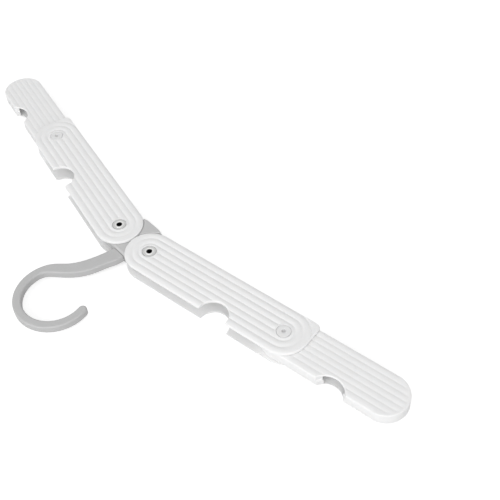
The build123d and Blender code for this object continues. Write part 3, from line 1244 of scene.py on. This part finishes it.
@dataclass(frozen=True)
class Studio:
    """White floor, soft light and the photograph's camera."""

    floor_height: float
    eye: Vector = Vector((-343.6 * MM, 110.6 * MM, 418.2 * MM))
    aim: Vector = Vector((-58.3 * MM, -117.0 * MM, 0.0))
    roll: float = radians(-4.26)
    lens: float = 60.1
    sensor: float = 36.0
    nearest: float = 10 * MM
    room_light: float = 0.55
    floor_size: float = 6000 * MM
    floor_colour: str = "E4E4E4"
    floor_glow: float = 0.56
    lamp_distance: float = 1600 * MM
    lamp_width: float = 1000 * MM

    def camera(self) -> None:
        """Places the camera where the photograph was taken from."""
        data = bpy.data.cameras.new("camera")
        data.lens = self.lens
        data.sensor_width = self.sensor
        data.clip_start = self.nearest
        camera = bpy.data.objects.new("camera", data)
        look = (self.aim - self.eye).to_track_quat("-Z", "Y").to_matrix().to_4x4()
        camera.matrix_world = Matrix.Translation(self.eye) @ look @ Matrix.Rotation(self.roll, 4, "Z")
        bpy.context.scene.collection.objects.link(camera)
        bpy.context.scene.camera = camera

    def room(self) -> None:
        """A plain white room: dimmer as the hanger's light, full white to camera and glossy rays."""
        world = bpy.data.worlds.new("room")
        bpy.context.scene.world = world
        world.use_nodes = True
        nodes, links = world.node_tree.nodes, world.node_tree.links
        nodes.clear()
        path = nodes.new("ShaderNodeLightPath")
        seen = nodes.new("ShaderNodeMath")
        seen.operation = "MAXIMUM"
        links.new(path.outputs["Is Camera Ray"], seen.inputs[0])
        links.new(path.outputs["Is Glossy Ray"], seen.inputs[1])
        strength = nodes.new("ShaderNodeMapRange")
        strength.inputs["To Min"].default_value = self.room_light
        strength.inputs["To Max"].default_value = 1.0
        links.new(seen.outputs[0], strength.inputs["Value"])
        light = nodes.new("ShaderNodeBackground")
        light.inputs["Color"].default_value = (1, 1, 1, 1)
        links.new(strength.outputs["Result"], light.inputs["Strength"])
        out = nodes.new("ShaderNodeOutputWorld")
        links.new(light.outputs["Background"], out.inputs["Surface"])

    def floor(self) -> None:
        """A white floor that keeps the object's shadow."""
        mesh = bmesh.new()
        bmesh.ops.create_grid(mesh, x_segments=1, y_segments=1, size=self.floor_size / 2)
        bmesh.ops.translate(mesh, vec=(0, 0, self.floor_height), verts=mesh.verts)
        sheet = NodeSheet("white_floor")
        path = sheet.add("LightPath")
        matt = sheet.add("BsdfDiffuse", None, {"Color": linear(self.floor_colour)})
        glow = sheet.add("Emission", None, {"Color": (1, 1, 1, 1), "Strength": self.floor_glow})
        both = sheet.add("AddShader", None, {0: matt.outputs["BSDF"], 1: glow.outputs["Emission"]})
        pick = sheet.add("MixShader", None,
                         {0: path.outputs["Is Camera Ray"], 1: matt.outputs["BSDF"],
                          2: both.outputs["Shader"]})
        sheet.add("OutputMaterial", None, {"Surface": pick.outputs["Shader"]})
        finish_piece(mesh, "floor", [sheet.material])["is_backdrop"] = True

    def lamp(self, name: str, azimuth: float, elevation: float, power: float) -> None:
        """Adds a square softbox aimed at the hanger.

        Args:
            name: the lamp's name.
            azimuth: the side that it stands on, in degrees from +X towards +Y.
            elevation: how high it stands, in degrees above the floor.
            power: its power in watts.
        """
        data = bpy.data.lights.new(name, "AREA")
        data.shape = "SQUARE"
        data.size = self.lamp_width
        data.energy = power
        lamp = bpy.data.objects.new(name, data)
        turn, rise = radians(azimuth), radians(elevation)
        way = Vector((cos(rise) * cos(turn), cos(rise) * sin(turn), sin(rise)))
        look = (-way).to_track_quat("-Z", "Y").to_matrix().to_4x4()
        lamp.matrix_world = Matrix.Translation(self.aim + way * self.lamp_distance) @ look
        bpy.context.scene.collection.objects.link(lamp)

    def set_up(self) -> None:
        """Builds the whole studio."""
        self.camera()
        self.room()
        self.floor()
        self.lamp("hook_side_softbox", azimuth=92.0, elevation=32.0, power=7.4)
        self.lamp("left_softbox", azimuth=150.0, elevation=28.0, power=6.0)
        self.lamp("top_softbox", azimuth=120.0, elevation=75.0, power=1.2)


def joint_place(frame: dict, name: str) -> Vector:
    """Where a joint's axis passes, in the hanger's frame.

    Args:
        frame: the loaded frame.
        name: the joint's name.

    Returns:
        The point.
    """
    return Vector(next(joint["pos_m"] for joint in frame["joints"] if joint["name"] == name))


def dress(node: bpy.types.Object, material: bpy.types.Material) -> None:
    """Gives a CAD node its finish.

    Args:
        node: the node's object.
        material: the finish.
    """
    for slot in node.material_slots:
        slot.material = material


def main() -> None:
    """Builds the hanger, class by class, and the studio round it."""
    logging.basicConfig(level=logging.INFO, format="%(message)s")
    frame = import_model()
    start_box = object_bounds()
    palette = Palette.mix()
    rivet = joint_place(frame, "arm_fold_right")
    pin = joint_place(frame, "tip_fold_right")
    arm_low, arm_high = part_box("arm_right")
    tip_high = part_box("tip_front_shell_right")[1]
    hook_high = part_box("hook")[1]
    arm_radius = rivet.x - arm_low.x
    for side in Side:
        arm = Arm(side=side, pivot=rivet, droop=atan2(rivet.y - pin.y, pin.x - rivet.x),
                  span=(pin - rivet).length, radius=arm_radius, half=arm_high.z)
        pieces = [arm.build(palette)]
        for face in Face:
            ledge = 0.0 if face is Face.FRONT else TIP_LEDGE
            notch = Notch(TIP_NOTCH_X, TIP_NOTCH_Y, TIP_NOTCH_RADIUS - ledge, TIP_LIP)
            shell = TipShell(side=side, face=face, place=arm.tip_place, length=TIP_LENGTH,
                             radius=TIP_RADIUS, half=tip_high.z, notch=notch, hook_x=arm.span + rivet.y,
                             hook_y=-rivet.x, hook_reach=hook_high.x + HOOK_GAP)
            pieces.append(shell.build(palette))
        rivet_piece, washer = HollowRivet(side, arm.place), RivetWasher(side, arm.place)
        pin_piece, cap = PivotPin(side, arm.tip_place), PinCap(side, arm.tip_place)
        body, white = f"arm_{side.label}", palette.pin_white
        pieces += [
            # The rivet's bore faces take the painted shade
            rivet_piece.make("rivet", "hub_rivet", "hub", "rivet_metal", palette.plated, palette.bore),
            washer.make("washer", "hub_washer", "hub", "washer_metal", palette.washer),
            pin_piece.make("pin", "tip_pin", body, "pin_plastic", white),
            cap.make("pin_cap", "tip_pin_cap", body, "pin_plastic", white),
        ]
        for piece in pieces:
            LOG.info("%s: %d faces", piece.name, len(piece.data.polygons))
    dress(frame["nodes"]["hook"], palette.hook_grey)
    for name in ("hub_front_shell", "hub_back_shell"):
        dress(frame["nodes"][name], palette.hub_grey)
    Studio(floor_height=start_box[0].z).set_up()
    bpy.context.scene.view_settings.view_transform = "Standard"
    bpy.context.view_layer.update()


if __name__ == "__main__":
    main()
